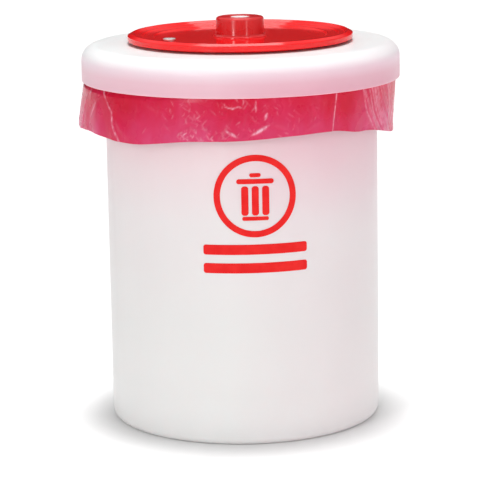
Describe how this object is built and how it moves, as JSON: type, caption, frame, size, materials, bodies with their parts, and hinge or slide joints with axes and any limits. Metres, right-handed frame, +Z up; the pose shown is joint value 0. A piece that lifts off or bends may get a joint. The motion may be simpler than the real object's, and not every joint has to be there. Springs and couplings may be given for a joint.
{
  "type": "biohazard waste bin",
  "caption": "Round lab waste can with a film liner turned over its rim, a slip-on lid with a central opening, and a knobbed cover that swings aside on an off-centre pivot.",
  "frame": {"origin": "centre of the can's footprint, on the floor", "axes": "+Z up along the can's axis; +X to the right and +Y to the back, with the cover's pivot at the left and towards the front"},
  "size_m": [0.3174, 0.3174, 0.404],
  "materials": {
    "natural_plastic": "translucent natural polyethylene, softly glossy, tinted faintly pink by the liner behind it",
    "lid_plastic": "translucent natural polyethylene, soft satin, pinker towards its skirt",
    "bag_film": "thin translucent red film with soft creases",
    "red_plastic": "glossy injection-moulded red",
    "white_plastic": "satin white",
    "stainless": "plain stainless steel, satin"
  },
  "bodies": {
    "can": {"can_body": "natural_plastic", "bag_liner": "bag_film", "bag_cuff": "bag_film"},
    "lid": {"lid_ring": "lid_plastic", "pivot_bush": "white_plastic", "pivot_washer_top": "stainless", "pivot_bolt": "stainless", "pivot_washer_bottom": "stainless", "pivot_nut": "stainless"},
    "cover": {"swing_cover": "red_plastic", "cover_knob": "red_plastic", "knob_cap": "white_plastic", "knob_washer": "stainless", "knob_screw": "stainless", "knob_barrel_nut": "stainless"}
  },
  "joints": [
    {"name": "lid_lift", "type": "slide", "parent": "can", "child": "lid", "axis": [0, 0, 1], "range_m": [0, 0.12]},
    {"name": "cover_swing", "type": "hinge", "parent": "lid", "child": "cover", "pos_m": [-0.06961, -0.03291, 0.384], "axis": [0, 0, 1], "continuous": true}
  ]
}
